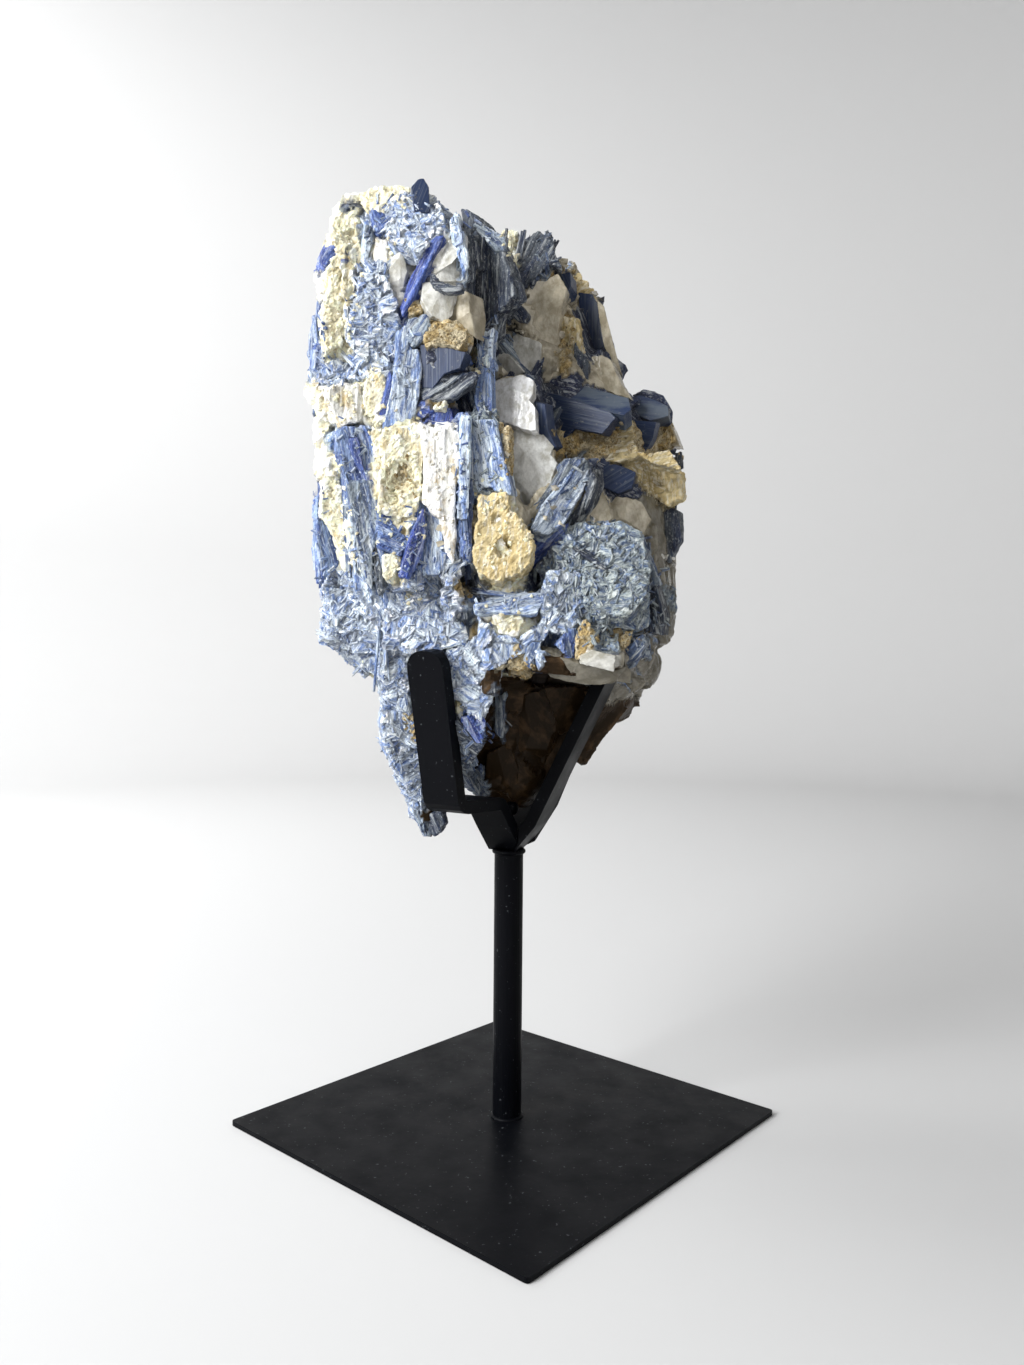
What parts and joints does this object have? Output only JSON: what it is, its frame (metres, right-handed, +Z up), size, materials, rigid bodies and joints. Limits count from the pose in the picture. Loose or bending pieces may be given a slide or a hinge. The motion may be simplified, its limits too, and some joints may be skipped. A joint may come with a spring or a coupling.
{
  "type": "kyanite blade cluster on a display stand",
  "caption": "Rough cluster of blue kyanite blades with cream feldspar and clear quartz, held by bent flat bars on a round post and a thin square plate.",
  "frame": {"origin": "middle of the base plate's underside, on the axis of the post", "axes": "+Z up along the post; +X to the viewer's right and +Y away from the viewer; the plate's corners lie on the X and Y axes"},
  "size_m": [0.1786, 0.1786, 0.2997],
  "materials": {
    "stand_paint": "satin black paint",
    "kyanite": "rough natural mineral, pale to deep blue blades with cream feldspar and clear quartz"
  },
  "bodies": {
    "root": {"base_plate": "stand_paint", "post": "stand_paint", "front_left_prong": "stand_paint", "front_right_prong": "stand_paint", "rear_prong": "stand_paint", "kyanite_specimen": "kyanite"}
  },
  "joints": []
}
